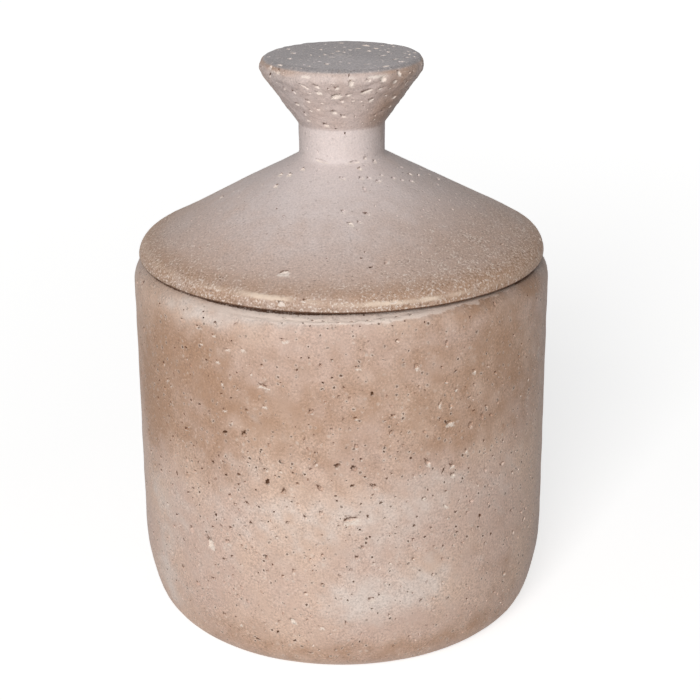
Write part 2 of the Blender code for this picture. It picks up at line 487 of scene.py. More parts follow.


# %% [markdown]
# ## Where the pits go
#
# There are a few kinds. A pinhole looks like a burst bubble: small, deep and dark. A dent or a
# crater is shallower, painted dark above as shade and stain, and pale below as light and a dusty
# lip, and a scar is a cleaner one.
# A chip, a fleck or a flake shows fresh pale stone, and a scuff is a pale scrape. Most are
# strewn at random in clumps. Those that are easy to recognise are listed by the pixel where
# the picture shows them, and put on the surface that the camera sees there.

# %% Kinds of pit
# half length in mm, spread of its logarithm, longest stretch, depth per half length,
# then how dark its floor and its upper side are, as painted shade and stain, and how pale its lower
# side (painted light and a dusty lip) and its floor are
PIT_KINDS = {
    "pinhole": (0.46, 0.34, 2.0, 1.40, 0.95, 0.60, 0.50, 0.00),
    "dent": (0.70, 0.36, 2.4, 0.75, 0.34, 1.00, 0.60, 0.00),
    "crater": (0.90, 0.32, 1.9, 0.60, 0.10, 1.00, 0.70, 0.02),
    "chip": (0.52, 0.40, 2.4, 0.55, 0.10, 0.75, 0.85, 0.10),
    "flake": (0.85, 0.30, 1.8, 0.45, 0.00, 0.90, 1.00, 0.80),
    "fleck": (0.66, 0.40, 3.0, 0.60, 0.00, 0.60, 0.85, 0.25),
    "scar": (0.75, 0.36, 3.2, 0.70, 0.00, 1.00, 0.90, 0.30),
    "scuff": (0.95, 0.45, 2.4, 1.00, 0.00, 0.00, 1.00, 1.00),
}
LONGEST_PIT = 1.5                # mm, half length of a strewn pit
NEAR_WEIGHT = 0.05               # pixels per mm of distance from the lens


def picture_of(rows, surface):
    """Some rows of a casting's grid as the camera sees them: the rows and columns of the points that face the
    camera, their pixels and their distance from the lens in mm."""
    row, column = (i.ravel() for i in np.meshgrid(rows, np.arange(COLUMNS), indexing="ij"))
    points = surface(row, column)
    skin = points - surface(row, column, 1.0)
    facing = ((np.array(camera.location) / MM - points) * skin).sum(1) > 0
    pixels, away = pixels_of(points[facing] * MM)
    return row[facing], column[facing], pixels, away / MM


def seen_at(picture, surface, x, y):
    """Row and column, with fractions, that a casting's picture shows at a pixel. The grid point that appears
    nearest, with a little weight on being near to the camera, is moved by one Newton step: the pixel's
    change per row and per column is measured over half a step, and the two are solved for what is left."""
    row, column, pixels, away = picture
    best = np.argmin(np.hypot(*(pixels - (x, y)).T) + NEAR_WEIGHT * away)
    rows, columns = row[best] + np.array([0, 0.5, 0]), column[best] + np.array([0, 0, 0.5])
    near, _ = pixels_of(surface(rows, columns) * MM)
    move = np.linalg.solve(2 * (near[1:] - near[0]).T, (x, y) - near[0])
    return row[best] + np.clip(move[0], -1, 1), column[best] + np.clip(move[1], -1, 1)


jar_outside = np.arange(np.argmax(jar_profile[:, 1]), len(jar_profile))
lid_outside = np.arange(np.argmax(np.isclose(lid_profile[:, 1], SEAT)))
jar_picture = picture_of(jar_outside, jar_surface)
lid_picture = picture_of(lid_outside, lid_surface)
print("facing the camera:", len(jar_picture[0]), "points of the jar,", len(lid_picture[0]), "of the lid")


# %% Pits by pixel and pits at random
def marked_pits(marks, picture, surface):
    """Pits that the picture shows: marks are lists of (x, y, half length, stretch, slant in degrees) by kind.
    A pit is (row, column, half length, half width, slant, depth, and the kind's four tones)."""
    found = []
    for kind, places in marks.items():
        deep, *tones = PIT_KINDS[kind][3:]
        for x, y, half, stretch, slant in places:
            place = seen_at(picture, surface, x, y)
            found.append((*place, half, half / stretch, math.radians(slant), half / stretch * deep, *tones))
    return found


def cell_sizes(profile):
    """Height and width of the grid's cells in each row, in mm."""
    tall = np.linalg.norm(np.diff(profile, axis=0), axis=1)
    return tall, np.pi * (profile[:-1, 0] + profile[1:, 0]) / COLUMNS


def strewn_pits(profile, rng, wanted, shares, size, density):
    """Random pits, drawn from the grid's cells by area times density, of the kinds and shares given. Their
    half lengths are lognormal, times a size."""
    tall, wide = cell_sizes(profile)
    row, column = np.meshgrid(np.arange(len(tall)), np.arange(COLUMNS), indexing="ij")
    chance = density(turned(profile, row.ravel() + 0.5, column.ravel() + 0.5)).reshape(row.shape)
    chance = chance * (tall * wide)[:, None]
    drawn = rng.choice(chance.size, size=wanted, p=(chance / chance.sum()).ravel())
    kinds = np.array([PIT_KINDS[kind] for kind in shares])
    half, spread, longest, deep, *tones = kinds[rng.choice(len(kinds), wanted, p=list(shares.values()))].T
    half = np.minimum(size * half * np.exp(spread * rng.normal(size=wanted)), LONGEST_PIT)
    stretch = rng.uniform(1, longest)
    slant = rng.uniform(0, np.pi, wanted)
    depth = half * deep * rng.uniform(0.6, 1.2, wanted)
    tones = np.array(tones) * rng.uniform(0.45, 1.2, (4, wanted))
    row = drawn // COLUMNS + rng.uniform(size=wanted)
    column = drawn % COLUMNS + rng.uniform(size=wanted)
    return list(zip(row, column, half, half / stretch, slant, depth, *tones))


# %% Blocks for the pits
REACH = 1.1                      # a pit's room, as a share of its half length


def span(middle, reach, exact):
    """First cell, number of cells and middle of a pit along one way of the grid. An exact pit covers all the
    cells that it touches. Others take the fewest cells that hold them, and move into those."""
    if exact:
        first = math.floor(middle - reach)
        return first, math.ceil(middle + reach) - first, middle
    count = max(1, math.ceil(2 * reach - 0.1))
    first = round(middle - count / 2)
    spare = max(0.0, count / 2 - reach)
    return first, count, first + count / 2 + min(max(middle - first - count / 2, -spare), spare)


def settle(profile, marked, strewn):
    """The pits with their blocks of cells, as a dictionary of arrays. Marked pits go first. One whose block
    would meet another's is left out, and so is a strewn one that would lie right beside another. A pit
    too near an end of the profile is left out as well."""
    tall, wide = cell_sizes(profile)
    free = np.ones((len(tall), COLUMNS), bool)
    clear = free.copy()
    kept = []
    for number, (row, column, a, b, slant, *rest) in enumerate([*marked, *strewn]):
        exact = number < len(marked)
        high, across = tall[int(row)], wide[int(row)]
        down = REACH * math.hypot(a * math.sin(slant), b * math.cos(slant)) / high
        right = REACH * math.hypot(a * math.cos(slant), b * math.sin(slant)) / across
        first, m, row = span(row, down, exact)
        left, n, column = span(column, right, exact)
        if first < 2 or first + m > len(tall) - 2:
            continue
        rows, columns = np.arange(first, first + m), np.arange(left, left + n)
        block = np.ix_(rows, columns % COLUMNS)
        if free[block].all() and (exact or clear[block].all()):
            free[block] = False
            clear[np.ix_(np.arange(first - 1, first + m + 1), columns % COLUMNS)] = False
            clear[np.ix_(rows, np.arange(left - 1, left + n + 1) % COLUMNS)] = False
            kept.append((first, left, m, n, row, column, across, tall[rows].mean(), a, b, slant, *rest))
    counts = ("row", "column", "m", "n")
    names = counts + ("middle_row", "middle_column", "du", "dv", "a", "b", "slant", "depth")
    names += ("dark_floor", "dark_top", "pale_foot", "pale_floor")
    kinds = [int if name in counts else float for name in names]
    return {name: np.array(values, kind) for name, kind, values in zip(names, kinds, zip(*kept))}


# %% Marks that the picture shows
# x and y in the picture, half length in mm, stretch, and slant in degrees
JAR_MARKS = {
    "scar": [
        (351, 520.5, 2.9, 2.4, -14), (264, 387, 2.2, 4.5, 18), (449, 423, 1.5, 1.5, 0),
        (416, 367, 1.3, 1.4, 70), (284, 340, 1.2, 1.3, 0), (427.5, 463, 1.4, 1.4, 40),
        (372, 600, 1.4, 1.5, 0), (452, 466, 1.0, 1.3, 0), (452.5, 475, 0.9, 1.3, 0),
    ],
    "flake": [
        (211, 543, 2.0, 1.2, 70), (293, 621, 1.2, 1.3, 30), (383, 319, 1.1, 1.8, 0),
        (445, 506, 0.8, 1.4, 50), (285, 319, 0.9, 1.8, 20), (300, 317, 0.8, 1.6, 10),
        (326, 322, 0.9, 2.0, 0),
    ],
    "chip": [
        (357, 368, 1.2, 2.4, 20), (440, 404, 1.3, 2.8, -60), (321, 627, 1.1, 1.7, 20),
        (213, 335, 0.6, 1.3, 0), (201, 343, 0.6, 1.3, 20), (242, 349, 0.5, 1.5, 0), (227, 349, 0.5, 1.2, 0),
        (217, 361, 0.6, 1.4, 0), (251, 374, 0.7, 1.4, 0), (222, 383, 0.6, 1.3, 20), (264, 406, 0.6, 1.3, 0),
        (224, 410, 0.6, 1.4, 0), (474, 371, 0.9, 1.3, 0), (539, 346, 1.0, 2.4, 80),
        (447, 518, 0.7, 1.6, 30), (466, 451, 0.7, 1.4, -40), (414, 476, 0.7, 1.4, 60),
        (313, 321, 0.7, 1.6, 0), (339, 323, 0.9, 2.2, 0), (352, 322, 0.8, 2.0, 0), (369, 321, 0.8, 1.8, 0),
        (397, 317, 0.8, 2.0, -10), (411, 315, 0.8, 2.0, -12),
    ],
    "dent": [
        (374, 487, 1.2, 1.3, 20), (357, 558, 0.9, 1.1, 0), (306, 518, 0.9, 1.4, 60),
        (248, 504, 1.0, 1.3, 30), (184, 569, 1.4, 1.5, 60), (225, 615, 1.2, 1.4, 60),
        (362, 548, 0.8, 1.2, 0), (214, 579, 0.9, 1.3, 0), (225, 560, 0.9, 1.5, 20), (393, 416, 0.9, 1.3, 0),
        (265.5, 470, 0.8, 1.2, 0), (368, 518, 0.8, 1.3, 60),
    ],
    "pinhole": [
        (267.5, 482, 1.4, 1.5, 100), (352, 486, 0.9, 1.4, -25), (372, 394, 0.8, 1.3, 80),
        (443.5, 470, 2.2, 4.5, -62), (431.5, 471, 0.8, 1.6, -30), (411, 458, 0.8, 1.6, 70),
        (480, 516, 1.0, 1.4, 70), (459, 501, 0.9, 1.8, -35), (177, 474, 1.3, 2.4, 70),
        (213, 462, 0.8, 1.4, 40), (209, 483, 0.6, 1.5, 60), (193, 488, 0.6, 1.3, 80),
        (226, 475, 0.6, 1.2, 0), (248, 463, 0.7, 2.0, -20), (278, 632, 0.9, 1.4, -70),
        (311, 653, 1.0, 2.5, 0), (258, 639, 1.1, 1.6, 15), (295, 641, 0.8, 1.4, 0),
        (421, 600, 1.1, 2.6, -50), (381, 503, 1.0, 2.4, -25), (323, 383, 0.7, 2.0, 20),
        (332, 378, 0.6, 1.6, 0), (456, 371, 1.0, 2.6, -25), (301, 358, 0.5, 1.2, 0),
        (309, 358, 0.5, 1.3, 0), (332, 360, 0.5, 1.2, 0), (184, 414, 0.6, 1.5, 50), (191, 400, 0.5, 1.2, 0),
        (514, 335, 0.7, 1.4, 20), (493, 456, 0.7, 1.3, 0), (484, 441, 0.6, 1.2, 70),
        (503, 441, 0.7, 1.2, 0), (365, 477, 0.5, 1.3, 0), (414, 526, 0.8, 1.5, -40),
        (397, 527, 0.5, 1.2, 0), (425, 537, 0.7, 1.6, 10), (443, 546, 0.7, 1.5, -60),
        (491, 534, 0.8, 1.3, 40), (485, 543, 0.7, 1.6, -50), (216, 515, 0.8, 1.3, 80),
        (259, 507, 0.6, 1.3, 0), (274, 512, 0.5, 1.2, 0), (155, 497, 0.5, 1.3, 0), (379, 595, 0.5, 1.2, 0),
        (467, 599, 0.6, 1.3, 0), (187, 586, 0.6, 1.3, 0), (177, 600, 0.5, 1.3, 0),
        (432.5, 452.5, 0.6, 1.2, 0), (398, 452, 0.5, 1.3, 0), (492, 489, 0.6, 1.2, 0),
        (513, 489, 0.6, 1.2, 0), (428, 490, 0.6, 1.6, 70), (433, 496, 0.6, 1.5, 60),
        (446, 491, 0.6, 1.3, 20), (456, 512, 0.8, 1.4, -30), (457, 532, 0.6, 1.2, 0),
        (417, 517, 0.5, 1.3, 0), (431, 528, 0.5, 1.3, 0), (282, 323, 0.33, 1.17, 0),
        (303, 323, 0.33, 1.26, 0), (310, 326, 0.33, 1.08, 0), (360, 326, 0.33, 1.26, 0),
        (379, 324, 0.39, 1.26, 20), (364, 315, 0.6, 1.3, 80), (405, 321, 0.4, 1.3, 0),
        (335.5, 496, 0.6, 1.3, 0), (337, 501, 0.5, 1.2, 0), (373, 495, 0.6, 1.3, -40),
        (361, 504, 0.5, 1.2, 0), (338.5, 526, 0.6, 1.4, -30), (360, 530, 0.5, 1.2, 0),
        (370, 537, 0.6, 1.4, 60), (184, 540, 0.8, 2.0, 60), (256, 490, 0.5, 1.2, 0),
        (293, 473, 0.6, 1.3, 30),
    ],
}
LID_MARKS = {
    "scar": [
        (316, 86, 1.5, 1.7, 35), (303, 86, 2.4, 4.0, 35), (326, 125, 1.2, 1.3, 30),
        (334, 112, 1.4, 1.4, 10), (366, 91, 2.4, 3.0, -25), (367, 214, 1.4, 1.8, 30),
        (337, 88, 1.1, 1.8, -35), (294, 92, 1.1, 1.6, 60), (297, 104, 1.2, 1.5, 0),
        (308, 101, 1.2, 1.3, 40), (343, 116, 1.2, 1.5, 30), (371, 100, 1.2, 1.5, -30),
        (388, 118, 1.0, 1.3, 0),
    ],
    "flake": [
        (351, 84.5, 1.5, 1.2, 80), (336, 97, 2.1, 1.6, -15), (284, 273, 1.9, 2.2, -20),
        (281, 304, 1.2, 1.3, 0), (319, 93, 1.2, 1.6, 20), (399, 73, 1.2, 1.2, 60), (395, 81, 1.1, 1.4, -20),
        (383, 79, 1.5, 1.3, 0), (303, 169, 1.2, 1.4, 0), (290, 174.5, 1.3, 1.6, 0),
        (281, 174.5, 1.2, 1.5, 0), (276, 186, 1.2, 1.2, 0), (222, 197, 1.0, 1.4, -20),
        (351, 224, 1.3, 1.4, 20), (410, 174, 1.0, 1.4, 0), (360, 169, 1.0, 1.3, 0),
    ],
    "pinhole": [
        (349, 75, 0.9, 3.4, 98), (336, 129, 0.50, 1.2, 0), (345, 133, 0.40, 1.2, 0),
        (382, 111, 0.5, 1.2, 0),
    ],
    "fleck": [
        (348, 95, 1.2, 1.6, 0), (394, 97, 1.2, 1.3, -30), (308, 120, 1.0, 1.4, 20), (322, 103, 0.8, 1.3, 0),
        (318, 109, 0.8, 1.4, 0), (342, 101, 0.8, 1.4, 0), (353, 101, 0.7, 1.3, 0), (380, 88, 1.0, 1.4, 0),
        (386, 95, 0.8, 1.3, 0), (368, 80, 1.2, 1.8, 10), (359, 222, 1.0, 1.2, 0), (343, 211, 1.1, 1.3, 0),
        (342, 178, 1.2, 1.8, 0), (361, 178, 1.1, 1.3, 0), (378, 181, 1.4, 1.8, 0), (354, 162, 2.2, 4.0, 0),
        (322, 161, 2.9, 6.0, 12), (421, 169, 1.0, 1.3, 0), (393, 301, 1.2, 1.6, 0), (210, 293, 1.2, 1.2, 0),
        (262, 76, 0.7, 1.3, 0), (369, 178, 1.0, 1.4, 20), (381, 175, 0.9, 1.3, 0), (393, 178, 1.0, 1.5, 10),
        (402, 180, 0.9, 1.3, 0), (411, 181, 1.0, 1.4, 20), (429, 174, 1.0, 1.4, 20),
        (318, 152, 0.9, 2.0, 60), (307, 148, 0.7, 1.6, 60), (365, 158, 1.0, 1.5, -40),
        (374, 161, 1.2, 1.6, -40),
    ],
    "scuff": [
        (338, 51.2, 1.1, 1.6, 0), (325, 54.5, 1.3, 2.0, 0), (344, 52.2, 0.8, 1.6, 0),
        (333, 53.4, 0.8, 1.8, 0), (366, 45.5, 1.7, 1.8, 0), (376, 48.5, 1.6, 2.2, 0),
        (369, 51, 1.4, 1.8, 0), (358, 48.5, 1.2, 1.6, 0), (382, 55.5, 1.5, 1.6, 30), (388, 52, 1.0, 1.4, 0),
        (395, 59, 1.6, 2.2, 0), (407, 57, 1.0, 1.3, 0), (385, 66, 1.4, 2.2, 0), (368, 64, 1.2, 1.8, 0),
        (349, 63, 0.9, 1.3, 0), (327, 63.5, 1.5, 1.3, 60), (309, 66, 1.0, 1.4, 0), (290, 58.5, 1.5, 1.8, 0),
        (281, 65, 1.7, 3.0, 0), (271, 66.5, 1.0, 1.4, 0), (289, 49, 0.9, 1.4, 0), (321, 49.5, 0.9, 1.6, 0),
        (350, 50, 1.0, 1.8, 0), (332, 57, 1.6, 4.0, -10), (341, 43, 0.9, 1.5, 0), (311, 55, 1.2, 3.0, 0),
    ],
}
for name, marks in (("jar", JAR_MARKS), ("lid", LID_MARKS)):
    print("marks on the", name + ":", sum(map(len, marks.values())))


# %% Pits of the jar
WALL_PITS = 4600
HEEL_PITS = 520
WALL_SHARES = {"pinhole": 0.40, "dent": 0.41, "crater": 0.19}
HEEL_SHARES = {"pinhole": 0.75, "scar": 0.10, "dent": 0.15}


def wall_pits(points):
    """Pits per area on the jar: clumps on the outside, thickest in a belt over the middle of the wall."""
    radius, height, _ = polar(points)
    outside = (radius > MOUTH + 6) & (height > 2) & (height < RIM - 2.5)
    level = np.interp(height, (10, 30, 60, 80, 104, 122, 134), (1.1, 1.0, 1.1, 1.4, 1.2, 0.6, 0.25))
    return outside * level * np.exp(1.3 * ripple(points, 12, 11))


def heel_pits(points):
    """Pits per area near the foot, most of them at the front left."""
    radius, height, angle = polar(points)
    side = np.interp(angle, (-180, -60, 0, 30, 180), (0.6, 1.3, 1.2, 0.5, 0.6))
    return (radius > MOUTH) * bell(height, 11, 8) * side * np.exp(ripple(points, 10, 13))


rng = np.random.default_rng(7)
heel_rng = np.random.default_rng(8)
jar_marked = marked_pits(JAR_MARKS, jar_picture, jar_surface)
heel = strewn_pits(jar_profile, heel_rng, HEEL_PITS, HEEL_SHARES, 1.0, heel_pits)
wall = strewn_pits(jar_profile, rng, WALL_PITS, WALL_SHARES, 1.0, wall_pits)
jar_pits = settle(jar_profile, jar_marked, heel + wall)
print("pits:", len(jar_pits["row"]), "on the jar")


# %% Pits of the lid
FLARE_PITS = 340
TOP_SCUFFS = 110
CONE_PITS = 480
FLARE_SHARES = {"scar": 0.5, "fleck": 0.5}
TOP_SHARES = {"scuff": 1.0}
CONE_SHARES = {"scar": 0.1, "fleck": 0.9}


def clumps(points, low, high):
    """Pits per area on the lid's skin between two heights, in clumps."""
    radius, height, _ = polar(points)
    inside = (height > low) & (height < high) & (height > under_cone(radius) + 6)
    return inside * np.exp(1.4 * ripple(points, 10, 12))


def cone_pits(points):
    """Pits per area on the cone, in clumps that lie closest on its right."""
    side = np.interp(polar(points)[2], (-180, -60, -20, 15, 40, 80, 180), (1, 1, 0.5, 0.8, 2.2, 2.2, 1))
    return side * clumps(points, SEAT + 2, CONE_TOP)


def flare_pits(points):
    """Pits per area on the knob's flare, in clumps."""
    return clumps(points, KNOB_FOOT + 1.5, TOP - 1.5)


def top_pits(points):
    """Pits per area on the knob's flat top, in clumps."""
    return clumps(points, TOP - 0.4, TOP + 1)


lid_marked = marked_pits(LID_MARKS, lid_picture, lid_surface)
flare = strewn_pits(lid_profile, rng, FLARE_PITS, FLARE_SHARES, 0.90, flare_pits)
scuffs = strewn_pits(lid_profile, rng, TOP_SCUFFS, TOP_SHARES, 0.8, top_pits)
cone = strewn_pits(lid_profile, rng, CONE_PITS, CONE_SHARES, 0.75, cone_pits)
lid_pits = settle(lid_profile, lid_marked, flare + scuffs + cone)
print("pits:", len(lid_pits["row"]), "on the lid")

# %% [markdown]
# ## The two castings
#
# Points and faces go into a mesh as whole arrays. A pit's lip is marked sharp, because a burst
# bubble and a fresh chip have crisp edges, and everything else is shaded smooth. Each mesh
# rides on its body of the frame and stands for that body's plain solid.


# %% Build the two meshes
def casting(name, profile, surface, pits, rng):
    """A casting's finished object, with its points in mm and each point's ring, pit number and lower side."""
    (row, column, depth, ring, owner, lower), faces = pitted_grid(profile, pits, rng)
    used = np.zeros(len(row), bool)
    for corners in faces.values():
        used[corners] = True
    new = np.cumsum(used) - 1
    points = surface(row[used], column[used], depth[used])
    corner = np.concatenate([new[found].ravel() for found in faces.values()])
    sides = np.concatenate([np.full(len(found), found.shape[1]) for found in faces.values()])
    mesh = bpy.data.meshes.new(name)
    mesh.vertices.add(len(points))
    mesh.vertices.foreach_set("co", (points * MM).astype(np.float32).ravel())
    mesh.loops.add(len(corner))
    mesh.loops.foreach_set("vertex_index", corner.astype(np.int32))
    mesh.polygons.add(len(sides))
    mesh.polygons.foreach_set("loop_start", (np.cumsum(sides) - sides).astype(np.int32))
    mesh.update(calc_edges=True)
    mesh.polygons.foreach_set("use_smooth", np.ones(len(sides), bool))
    ends = np.empty(len(mesh.edges) * 2, np.int32)
    mesh.edges.foreach_get("vertices", ends)
    lip = ring[used] == LIP
    mesh.edges.foreach_set("use_edge_sharp", lip[ends.reshape(-1, 2)].all(1))
    obj = bpy.data.objects.new(name, mesh)
    bpy.context.scene.collection.objects.link(obj)
    print(f"{name}: {len(points)} points, {(sides - 2).sum()} triangles, mended: {mesh.validate()}")
    return obj, points, ring[used].astype(int), owner[used].astype(int), lower[used]


jar, jar_points, *jar_pitting = casting("jar_skin", jar_profile, jar_surface, jar_pits, rng)
lid, lid_points, *lid_pitting = casting("lid_skin", lid_profile, lid_surface, lid_pits, rng)
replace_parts(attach(jar, "jar"), "jar_body")
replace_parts(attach(lid, "lid"), "lid")

# %% [markdown]
# ## Wash, bloom, dirt and painted light and shade
#
# The finish looks like a thin brown wash that was wiped on and clung in clouds, with a pale bloom
# over it. Noise alone would put the clouds anywhere, so they are placed by pixel on the side
# that the picture shows, and at random on the jar's other side. Each point of the mesh stores
# how much of each it has, and the material roughens the clouds' edges.


# %% Clouds on the skin
def clouds(points, places):
    """How much of a wash each point has: every cloud adds its strength times a bell curve of the distance
    from its middle, measured in its own half width and half height."""
    total = np.zeros(len(points))
    for middle, wide, tall, strength in places:
        off = points - middle
        total += strength * np.exp(-(off[:, 0] ** 2 + off[:, 1] ** 2) / wide ** 2 - (off[:, 2] / tall) ** 2)
    return total


def seen_clouds(picture, surface, listed):
    """Clouds that are listed by pixel, with their middles on the surface."""
    found = []
    for x, y, wide, tall, strength in listed:
        row, column = seen_at(picture, surface, x, y)
        found.append((surface(np.array([row]), np.array([column]))[0], wide, tall, strength))
    return found


def back_clouds(rng, count, low, high, strength):
    """Random clouds on the side that the picture doesn't show, between two heights on the jar's wall."""
    angle = rng.uniform(0.15, np.pi - 0.15, count)
    height = rng.uniform(low, high, count)
    middles = np.stack([WALL_RADIUS * np.cos(angle), WALL_RADIUS * np.sin(angle), height], 1)
    wide, tall = rng.uniform(14, 32, count), rng.uniform(8, 18, count)
    return list(zip(middles, wide, tall, strength * rng.uniform(0.5, 1.1, count)))


# x and y in the picture, then half width and half height in mm, and strength
# the cloud at the wall's far left edge and the one under the lid's edge at the right end are partly painted
# shade
JAR_WASH = [
    (150, 400, 10, 26, 0.68), (165, 405, 12, 18, 0.40), (165, 340, 12, 11, 0.60), (200, 355, 11, 12, 0.40),
    (212, 395, 12, 13, 0.30),
    (200, 440, 16, 9, 0.25), (250, 405, 18, 12, 0.15), (300, 430, 18, 12, 0.12), (215, 480, 20, 7, 0.28),
    (350, 400, 24, 10, 0.15), (450, 415, 18, 16, 0.20), (480, 360, 16, 12, 0.20), (520, 380, 12, 18, 0.20),
    (470, 435, 16, 10, 0.18), (530, 284, 10, 5, 0.80), (430, 345, 16, 8, 0.18), (235, 445, 12, 8, 0.14),
    (500, 330, 13, 10, 0.30), (505, 385, 9, 12, 0.15), (440, 313, 16, 4, 0.30), (482, 302, 12, 4, 0.50),
    (510, 345, 11, 12, 0.18), (320, 656, 60, 7, 0.45), (430, 640, 40, 5, 0.30), (240, 628, 26, 7, 0.35),
    (470, 618, 16, 9, 0.25), (220, 585, 14, 9, 0.12), (450, 545, 18, 12, 0.12), (505, 580, 14, 20, 0.34),
    (300, 575, 16, 7, 0.14), (312, 538, 12, 8, 0.28), (342, 480, 26, 8, 0.10), (485, 535, 12, 14, 0.12),
]
# the thin clouds along the rim under the lid's edge are partly painted light, brightening the strip that the
# lid shades
JAR_BLOOM = [
    (190, 310, 18, 4, 0.70), (165, 505, 13, 12, 0.55), (270, 520, 34, 9, 0.38), (370, 510, 30, 8, 0.35),
    (420, 505, 18, 10, 0.25), (362, 602, 15, 10, 0.80), (423, 585, 14, 9, 0.65), (330, 560, 40, 10, 0.15),
    (500, 480, 14, 12, 0.25), (395, 540, 14, 8, 0.20), (440, 476, 10, 6, 0.30), (168, 575, 9, 16, 0.75),
    (250, 465, 9, 6, 0.30), (270, 318, 18, 3, 0.45), (330, 319, 26, 2, 0.35), (205, 565, 14, 9, 0.20),
    (250, 312, 16, 2.5, 0.40), (300, 316, 12, 2.0, 0.30), (386, 315, 14, 2, 0.45), (420, 309, 9, 2, 0.30),
]
JAR_SMOOTH = [
    (245, 385, 18, 15, 0.5), (285, 420, 12, 10, 0.4), (255, 345, 16, 6, 0.4), (405, 505, 12, 6, 0.3),
    (200, 304, 18, 5, 0.8), (262, 317, 18, 4, 0.5), (420, 318, 22, 4, 0.5),
]
# the clouds on the right of the knob's flare and of the cone are partly painted shade of that side
LID_WASH = [
    (282, 71, 6, 3, 0.75), (412, 67, 6, 3, 0.90), (402, 78, 6, 6, 0.75), (392, 98, 7, 8, 0.70),
    (380, 116, 6, 6, 0.60), (440, 240, 22, 8, 0.18), (385, 225, 22, 8, 0.22), (186, 286, 6, 3, 0.40),
]
print("clouds on the jar:", len(JAR_WASH), "of wash and", len(JAR_BLOOM), "of bloom")

# %% [markdown]
# ## Numbers that the material reads
#
# A material can't know where a pit or a worn edge is, so each point of the mesh carries that as
# a number from 0 to 1. Painting weights by hand could do it too, but here the numbers follow
# from the point's place. A pit's upper side and floor are darkened as painted shade and stain,
# and its lower side is paled as painted light and a dusty lip. Painted shade and painted
# highlights over wider areas are stored the same way.

# %% Stored numbers
EDGE_SPAN = 10.0                 # mm, distances from a worn edge are stored as 0.5 plus their share of this
HIDDEN_WASH = 0.25               # inside the jar and under the lid
HIDDEN_BLOOM = 0.3
HIDDEN_GRIT = 0.5
SLOWER_ABOVE = 0.55              # distances over the jar's crease count less, so its line is wider there, as painted light on the strip that the lid shades


def store(obj, name, values):
    """A number for each point of the mesh, which the material reads by its name."""
    data = obj.data.attributes.new(name, "FLOAT", "POINT").data
    data.foreach_set("value", np.clip(values, 0, 1).astype(np.float32))


def store_pits(obj, pits, ring, owner, lower, gap_dirt_and_shadow, wear_and_highlight):
    """Darkness and paleness of the pits' points. The upper side and the floor, more so in its upper part,
    are dark, as painted shade and stain, and the lower side is pale, as painted light and a dusty lip, as
    much as the kind of pit says. gap_dirt_and_shadow and wear_and_highlight are added to them."""
    names = ("dark_floor", "dark_top", "pale_foot", "pale_floor")
    tones = (np.where(owner >= 0, pits[name][owner], 0) for name in names)
    dark_floor, dark_top, pale_foot, pale_floor = tones
    low, high = np.clip(lower, 0, 1), np.clip(-lower, 0, 1)
    lip, wall, floor = (ring == k for k in (LIP, WALL_RING, FLOOR_RING))
    dark = lip * 0.8 * dark_top * high + wall * (dark_floor * (1 - 0.5 * low) + dark_top * high)
    pale = lip * pale_foot * (0.15 + 0.85 * low) + wall * (pale_foot * low + pale_floor)
    store(obj, "hollow", gap_dirt_and_shadow + dark + floor * (dark_floor + 0.45 * dark_top * high))
    store(obj, "chip", wear_and_highlight + pale + floor * pale_floor)


# %% [markdown]
# ## The jar's finish
#
# A brown belt runs round the upper half of the wall, with clouds of wash and bloom over it. The
# shoulder and both sides get painted shade, the foot is painted dark as contact shadow where it
# meets the shelf, and a thin dark line on the rim along the lid's edge is painted shadow of the
# gap, with stain. In each np.interp, the first list holds heights in mm or angles in degrees,
# and the second one how much there is at each.

# %% The jar's wash, bloom and painted side sheen
radius, height, angle = polar(jar_points)
outside = (radius > MOUTH + 4) & (height > 1)
belt = np.interp(height, (70, 92, 108, 132, 142), (0, 0.36, 0.42, 0.32, 0.18))
wash = belt + clouds(jar_points, seen_clouds(jar_picture, jar_surface, JAR_WASH))
wash = wash + clouds(jar_points, back_clouds(rng, 16, 70, 128, 0.3)) + 0.12 * ripple(jar_points, 9, 21)
bloom = clouds(jar_points, seen_clouds(jar_picture, jar_surface, JAR_BLOOM))
bloom = bloom + clouds(jar_points, back_clouds(rng, 18, 20, 135, 0.6)) + 0.12 * ripple(jar_points, 7, 22)
# painted reflection: a grey layer on the jar's left and right sides stands for the cool sheen of the white
# room at grazing angles
side_sheen = 0.5 * bell(angle, -90, 20) * (1 - 0.7 * bell(height, 112, 22)) + 0.3 * bell(angle, 80, 14)
store(jar, "wash", np.where(outside, wash, HIDDEN_WASH))
store(jar, "bloom", np.where(outside, bloom, HIDDEN_BLOOM))
store(jar, "dust_and_sheen", outside * side_sheen)
print("jar: wash", wash[outside].mean().round(2), "and bloom", bloom[outside].mean().round(2), "on average")

# %% The jar's grain, painted shade, stain and pits
above, sharp = crease(jar_points)
smooth = clouds(jar_points, seen_clouds(jar_picture, jar_surface, JAR_SMOOTH))
lumps = ripple(jar_points, 12, 11)
sandy = 0.45 * ripple(jar_points, 5, 12) - 0.25 - smooth + 0.6 * bell(above, 0, 1.5) * sharp
store(jar, "sand", outside * sandy)
store(jar, "grit", np.where(outside, 0.75 + 0.25 * lumps - 0.4 * smooth, HIDDEN_GRIT))
store(jar, "holes", outside * (0.80 + 0.30 * lumps - 0.6 * smooth))
